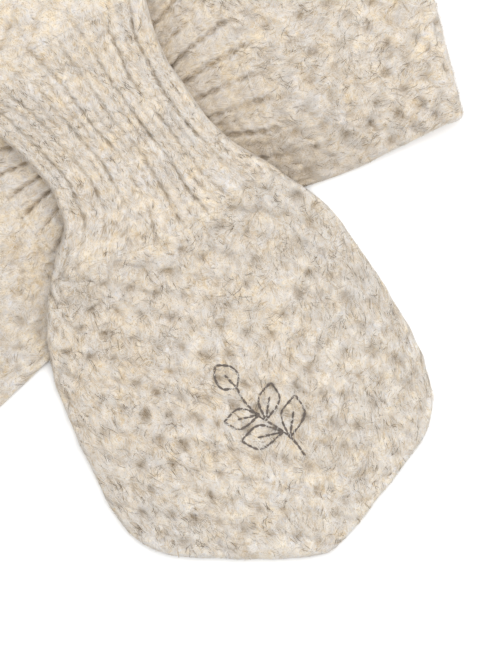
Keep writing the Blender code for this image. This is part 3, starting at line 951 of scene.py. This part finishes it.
def hairs(name, dressed, first, last, count, seed):
    # curved fibres that leave the surface and come back to it
    dice = np.random.default_rng(seed)
    face, normal = dressed["face"], dressed["normal"]
    rows, lines = face.shape[:2]
    segments, spread = haze["segments"], haze["apart"]
    tufts = count // haze["tuft"]
    count = tufts * haze["tuft"]

    def perTuft(values):
        return np.repeat(values, haze["tuft"])

    row, line = perTuft(dice.uniform(first + 2, last - 2, tufts)), perTuft(dice.uniform(3, lines - 4, tufts))
    i, j = row.astype(int), line.astype(int)
    rowPace = face[np.clip(i + 1, 0, rows - 1), j] - face[np.clip(i - 1, 0, rows - 1), j]
    rowPace, linePace = [np.maximum(np.linalg.norm(pace, axis=1) / 2, haze["pace"])
                         for pace in (rowPace, face[i, j + 1] - face[i, j - 1])]
    row = np.clip(row + dice.normal(0, spread, count) / rowPace, first + 1, last - 1)
    line = np.clip(line + dice.normal(0, spread, count) / linePace, 2, lines - 3)
    stray, longest = ("ribStray", "ribLong") if "rib" in name else ("stray", "long")
    angle = dice.normal(math.pi / 2, haze[stray], tufts) + math.pi * dice.integers(0, 2, tufts)
    angle = perTuft(angle) + dice.normal(0, haze["strayInTuft"], count)
    length = perTuft(dice.uniform(haze["short"], haze[longest], tufts))
    length = length * dice.uniform(*haze["lengths"], count)
    bend = perTuft(dice.normal(0, haze["bend"], tufts)) + dice.normal(0, haze["bendInTuft"], count)
    lift = haze["lift"] * dice.uniform(*haze["lifts"], count) ** haze["liftPower"]
    width = haze["wide"] * dice.uniform(*haze["widths"], count)
    tone = perTuft(dice.uniform(*haze["tones"], tufts)) + dice.normal(0, haze["toneInTuft"], count)
    points, ups, fields = [], [], dict(hollow=[], shaded=[])
    for step in range(segments + 1):
        share = step / segments
        ri, ci = np.clip(row, 0, rows - 1.001), np.clip(line, 1, lines - 2.001)
        i, j = ri.astype(int), ci.astype(int)
        fr, fc = (ri - i)[:, None], (ci - j)[:, None]
        after = np.minimum(i + 1, rows - 1)
        spot, up = [mixed(*[mixed(values[k, j], values[k, j + 1], fc) for k in (i, after)], fr)
                    for values in (face, normal)]
        rise = lift * math.sin(math.pi * (share * haze["arc"][1] + haze["arc"][0])) + haze["start"]
        points.append(spot + up * rise[:, None])
        ups.append(up)
        for label, values in fields.items():
            values.append(dressed[label][i, j])
        heading = angle + bend * (share - 0.5)
        row = row + length / segments * np.sin(heading) / rowPace
        line = line + length / segments * np.cos(heading) / linePace
    points = np.array(points)
    side = np.cross(np.gradient(points, axis=0), np.array(ups))
    side = side / np.maximum(np.linalg.norm(side, axis=2), 1e-6)[..., None] * (width / 2)[None, :, None]

    # a fibre is a flat ribbon with pointed ends
    edge = [(0, 0)] + [(step, way) for step in range(1, segments) for way in (-1, 1)] + [(segments, 0)]
    ribbon = np.stack([points[step] + way * side[step] for step, way in edge], axis=1)
    ribbon[..., 2] = np.maximum(ribbon[..., 2], haze["lowest"])
    steps, size = [step for step, way in edge], len(edge)
    start = np.arange(count)[:, None] * size
    three = np.concatenate([start + ends for ends in ((0, 2, 1), (size - 3, size - 2, size - 1))])
    four = np.concatenate([start + 2 * k + (1, 2, 4, 3) for k in range(segments - 2)])
    corners = np.concatenate((three.ravel(), four.ravel()))
    counts = np.repeat((3, 4), (len(three), len(four)))
    points = ribbon.reshape(-1, 3)
    low, high = points[:, :2].min(axis=0), points[:, :2].max(axis=0)
    fields = dict(tone=np.repeat(np.clip(tone, 0, 1), size),
                  **{label: np.array(values)[steps].T.ravel() for label, values in fields.items()})
    bake = ((points[:, :2] - low) / (high - low))[corners]
    return meshPiece(name, points, corners, counts, counts > 2, dict(OFBake=bake), fields)


topNodes = ["front_leaf", "keyhole_top_rib", "neck_left"]
throughNodes = ["back_leaf", "through_rib", "neck_right"]
crossing = topNodes + throughNodes
# Ribbing: how many ribs, widths of the last one along the strip, depth of the gaps, that depth at the ends,
# how far the ribs lean near the leaf and how far they fan out at the neck.
upperStrip = dict(
    nodes=topNodes,
    axis=-64.4,  # of the leaf
    cells=240,  # across the strip
    spacing=dict(leaf=0.55, rib=0.5, neck=0.8, fold=0.8),  # of the grid's rows
    rows=(keyholeRows, neckLeftRows),
    sides=(keyholeSides, neckLeftSides),
    ribbing=dict(count=9, lastWide=(1.0, 0.97, 0.95, 1.04, 1.18, 0.95, 0.82, 0.75, 0.75), depth=1.25,
                 fade=0.95, sway=0.0, fan=0.0),
)
lowerStrip = dict(
    nodes=throughNodes,
    axis=-146.0,
    cells=216,
    spacing=dict(leaf=0.75, rib=0.5, neck=0.62, fold=0.8),
    rows=(throughRows, neckRightRows),
    sides=(None, None),
    ribbing=dict(count=11, lastWide=(0.8, 0.8), depth=4.4, fade=0.6, sway=-0.45, fan=0.05),
)
plainRibbing = dict(count=9, lastWide=(1.0, 1.0), depth=3.0, fade=1.0, sway=0.0, fan=0.0)
joinReach = (30, 20)  # rows over which a stretch bends to meet the one before


def buildStrip(setting, above, borders):
    # one end of the garment: a leaf, its rib, and a side of the neck with its fold
    share, spacing = shares(setting["cells"]), setting["spacing"]
    grid = laidLeaf(setting["axis"], spacing["leaf"], share)
    ends = [len(grid) - 1]
    for rows, label, sides, reach in zip(setting["rows"], ("rib", "neck"), setting["sides"], joinReach):
        grid = joinedOn(grid, laidRows(rows, spacing[label], share, sides), reach)
        ends.append(len(grid) - 1)
    away = awayFromEdge(grid, ends[0] + 1)
    close, shaded = closeTo(grid, borders) if borders else (0 * away, 0 * away)
    heights, ceiling = readHeights(grid, True, setting["nodes"], above)
    upper, under = foldOver(*layerOf(grid, away, heights), spacing["fold"])
    added = len(upper) - len(grid)
    away, close, shaded = [np.concatenate((field, np.repeat(field[-1:], added, axis=0)))
                           for field in (away, close, shaded)]
    ceiling = np.concatenate((ceiling, np.full((added, len(share)), cloth["above"])))
    return dict(upper=upper, under=under, away=away, close=close, shaded=shaded, ceiling=ceiling,
                flip=False, axis=setting["axis"], ends=ends[:2], ribbing=setting["ribbing"],
                edges=[grid[:, 0], grid[:, -1]])


def buildBand(nodes, rows, above, cells, spacing, ribbed):
    # a plain stretch that lies on the surface; the back of the neck shows its other side
    grid = laidRows(rows, spacing, shares(cells))
    away = awayFromEdge(grid, 0)
    heights, ceiling = readHeights(grid, False, nodes, above)
    upper, under = layerOf(grid, away, heights)
    return dict(upper=upper, under=under, away=away, close=0 * away, shaded=0 * away, ceiling=ceiling,
                flip=not ribbed, axis=0, ends=(0, len(grid) - 1 if ribbed else 0), ribbing=plainRibbing)


stripA = buildStrip(upperStrip, [], [])
print("upper strip laid", stripA["upper"].shape)
stripB = buildStrip(lowerStrip, topNodes, stripA["edges"])
print("lower strip laid", stripB["upper"].shape)
napeBand = buildBand(["neck_back"], neckBackRows, crossing + ["keyhole_under_rib"],
                     cells=108, spacing=1.0, ribbed=False)
underBand = buildBand(["keyhole_under_rib"], underRows, crossing, cells=96, spacing=0.9, ribbed=True)

# For each node the smooth strip, the knitted one, first and last row, and whether the first is a free edge.
stretches = {}
for strip, nodes in ((stripA, topNodes), (stripB, throughNodes)):
    dressed, (leafEnd, ribEnd), last = dress(strip), strip["ends"], len(strip["upper"]) - 1
    for node, first, end in zip(nodes, (0, leafEnd, ribEnd), (leafEnd, ribEnd, last)):
        stretches[node] = (strip, dressed, first, end, first == 0)
for node, strip in (("neck_back", napeBand), ("keyhole_under_rib", underBand)):
    stretches[node] = (strip, dress(strip), 0, len(strip["upper"]) - 1, False)
print("stitches knitted")

pieces = {}
for node, stretch in stretches.items():
    pieces[node] = knitMesh(node + "Knit", *stretch)
    pieces[node].data.materials.append(ribWool if "rib" in node else mossWool)
    print(node, len(pieces[node].data.polygons), "faces")

fibres = dict(front_leaf=(26000, 5), keyhole_top_rib=(13000, 6), neck_left=(4000, 7), back_leaf=(7000, 8),
              through_rib=(6000, 9), neck_right=(12000, 10), neck_back=(3000, 77))  # how many, seed
hairFinish = strandFinish("looseWoolFibres")
hairPieces = {}
for node, (count, seed) in fibres.items():
    hairPieces[node] = hairs(node + "Fibres", *stretches[node][1:4], count, seed)
    hairPieces[node].data.materials.append(hairFinish)
print("fibres combed out")

# A small sewn sprig on the leaf: a stem with pairs of leaves and a bud, in back stitch.
sprig = dict(
    place=(4.0, 137.0),  # across and along the front leaf
    turn=22.0,
    size=1.2,
    stitch=2.6,
    gap=0.06,
    wide=1.0,
    wides=(0.85, 1.15),
    sides=6,
    swell=(0.7, 1.0, 1.05, 1.0, 0.7),  # along a stitch
    flat=0.8,
    arch=0.34,  # how high a stitch stands at its middle
    dip=0.05,  # how deep all of it sinks in
    sink=0.7,  # that it may lie below the smooth layer
    steps=60,  # to a line, before it is cut into stitches
    twist=900.0,  # how finely the thread is twisted
    twistDepth=0.0002,
    twistShare=0.6,  # of the thread's shading; the rest differs from stitch to stitch
    colour=(0.17, 0.137, 0.113),
    shade=(0.085, 0.066, 0.053),
)


def sprigLines():
    # open lines in millimetres, up the stem
    stem = [(0, -19), (1.2, -12), (0.6, -5), (-0.8, 2), (-0.4, 9), (1.2, 14)]
    lines = [stem]
    for y, side, size in ((-11, 1, 1.0), (-8, -1, 1.0), (-1, 1, 0.9), (2, -1, 0.85)):
        start = (0.9 if y < -5 else -0.2, y)
        tip = (start[0] + side * 12 * size, y + 8.5 * size)
        upper = (start[0] + side * 4.0 * size, y + 7.8 * size)
        lower = (start[0] + side * 9.5 * size, y + 1.6 * size)
        lines.append([start, upper, tip])
        lines.append([start, lower, tip])
        lines.append([start, (start[0] + side * 7.5 * size, y + 5.2 * size)])
    lines.append([(1.2, 14), (-2.6, 17.5), (-1.2, 22), (1.8, 24.5)])
    lines.append([(1.2, 14), (5.2, 16.8), (4.8, 21.4), (1.8, 24.5)])
    lines.append([(1.2, 14), (1.4, 17), (1.7, 20)])
    return lines


def sewn(name, tree, smooth):
    ahead, aside = turned(upperStrip["axis"]), turned(upperStrip["axis"] + 90)
    spin = math.radians(sprig["turn"])
    sides, rings = sprig["sides"], len(sprig["swell"])
    around = [2 * math.pi * q / sides for q in range(sides)]
    points, faces, tones = [], [], []
    dice = np.random.default_rng(9)
    for line in sprigLines():
        curve = smoothSteps(line, sprig["steps"]) * sprig["size"]
        length = lengthAlong(curve)
        count = max(1, round(length[-1] / sprig["stitch"]))
        for k in range(count):
            ends = []
            for at in (k * length[-1] / count, (k + 1) * length[-1] / count - sprig["gap"]):
                x, y = [np.interp(at, length, curve[:, c]) for c in (0, 1)]
                x, y = x * math.cos(spin) - y * math.sin(spin), x * math.sin(spin) + y * math.cos(spin)
                plan = (sprig["place"][1] - y) * ahead + (sprig["place"][0] + x) * aside
                hit = firstHit(tree, plan, cloth["above"], False)
                ends.append(np.array((*plan, max(hit, smooth(plan) - sprig["sink"]))))
            a, b = ends
            way = (b - a) / np.linalg.norm(b - a)
            out = np.cross(way, (0, 0, 1.0))
            out /= np.linalg.norm(out)
            up = np.cross(out, way)
            radius = sprig["wide"] / 2 * dice.uniform(*sprig["wides"])
            tones += [dice.uniform(0, 1)] * (rings * sides)
            first = len(points)
            for r, swell in enumerate(sprig["swell"]):
                t = r / (rings - 1)
                middle = mixed(a, b, t) + up * (sprig["arch"] * math.sin(math.pi * t) - sprig["dip"])
                for turn in around:
                    spoke = math.cos(turn) * out + sprig["flat"] * math.sin(turn) * up
                    points.append(middle + swell * radius * spoke)
            for start in range(first, first + (rings - 1) * sides, sides):
                for q in range(sides):
                    c, d = start + q, start + (q + 1) % sides
                    faces.append((c, c + sides, d + sides, d))
            faces.append(range(first, first + sides))
            faces.append(range(first + rings * sides - 1, first + (rings - 1) * sides - 1, -1))
    counts = np.array([len(face) for face in faces])
    fields = dict(tone=np.array(tones))
    return meshPiece(name, np.array(points), np.concatenate(faces), counts, counts == 4, {}, fields)


def threadFinish():
    f = Finish("embroideryThread")
    place = f.node("ShaderNodeTexCoord", out=3)
    twist = f.node("ShaderNodeTexWave", dict(wave_type="BANDS", bands_direction="DIAGONAL"),
                   {"Vector": place, "Scale": sprig["twist"], "Distortion": 3.0, "Detail": 1.0})
    share = sprig["twistShare"]
    colour = f.blend(twist * share + f.field("tone") * (1 - share), sprig["shade"], sprig["colour"])
    bump = f.node("ShaderNodeBump", None, {"Strength": 0.6, "Distance": sprig["twistDepth"], "Height": twist})
    return f.surface(Base_Color=colour, Roughness=0.55, Normal=bump, Sheen_Weight=0.3)


leafBase = stripA["upper"][:stripA["ends"][0]:4, ::4]


def baseHeight(plan):
    spread = leafBase[..., :2] - plan
    return leafBase[..., 2].ravel()[np.argmin((spread**2).sum(axis=2))]


sprigPiece = sewn("sewnSprig", treeOf([pieces["front_leaf"]]), baseHeight)
sprigPiece.data.materials.append(threadFinish())
print("sprig sewn,", len(sprigPiece.data.polygons), "faces")

# Each knitted stretch, its fibres and, on the front leaf, the sprig hang from the root; the imported solid it
# stands for is hidden.
for node, piece in pieces.items():
    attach(piece, "root")
    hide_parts(node)
    "rib_knit" if "rib" in node else "moss_knit"
    extra = [hairPieces[node]] if node in hairPieces else []
    if node == "front_leaf":
        extra.append(sprigPiece)
    for loose in extra:
        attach(loose, "root")
        "thread" if loose is sprigPiece else "rib_knit" if "rib" in node else "moss_knit"

# Studio: a near-white floor, one broad soft light overhead and a pale surround
studio = dict(
    floor=((0.93, 0.93, 0.93), (0.95, 0.95, 0.95)),
    floorSize=6,
    floorHeight=-0.0002,
    surround=0.75,
    surroundColour=(1, 0.995, 0.985, 1),
    lampPower=15.0,
    lampSize=1.6,
    lampPlace=(0.25, 0.1, 1.3),
    lampAim=(0.0, -0.12, 0.0),
)
camera = dict(place=(46.9, -144.1, 1527.0), lens=200.0, sensor=36.0, farthest=20)

bpy.ops.mesh.primitive_plane_add(size=studio["floorSize"], location=(0, 0, studio["floorHeight"]))
floor = bpy.context.object
floor.name = "studioFloor"
f = Finish("paleFloor")
floor.data.materials.append(f.surface(
    Base_Color=f.blend(f.node("ShaderNodeTexNoise", None, {"Scale": 3.0}), *studio["floor"]),
    Roughness=0.9, Specular_IOR_Level=0.1))

world = bpy.data.worlds.new("paleSurround")
bpy.context.scene.world = world
world.use_nodes = True
background = world.node_tree.nodes["Background"]
background.inputs["Color"].default_value = studio["surroundColour"]
background.inputs["Strength"].default_value = studio["surround"]

lamp = bpy.data.lights.new("overheadSoftbox", "AREA")
lamp.shape, lamp.size, lamp.energy = "DISK", studio["lampSize"], studio["lampPower"]
lampObject = bpy.data.objects.new("overheadSoftbox", lamp)
lampObject.location = studio["lampPlace"]
bpy.context.scene.collection.objects.link(lampObject)
aim = Vector(studio["lampAim"]) - lampObject.location
lampObject.rotation_euler = aim.to_track_quat("-Z", "Y").to_euler()

lens = bpy.data.cameras.new("overheadCamera")
lens.lens, lens.sensor_width, lens.clip_end = camera["lens"], camera["sensor"], camera["farthest"]
cameraObject = bpy.data.objects.new("overheadCamera", lens)
cameraObject.location = [value * mm for value in camera["place"]]
bpy.context.scene.collection.objects.link(cameraObject)
bpy.context.scene.camera = cameraObject
bpy.context.scene.view_settings.view_transform = "Standard"
print("studio set")
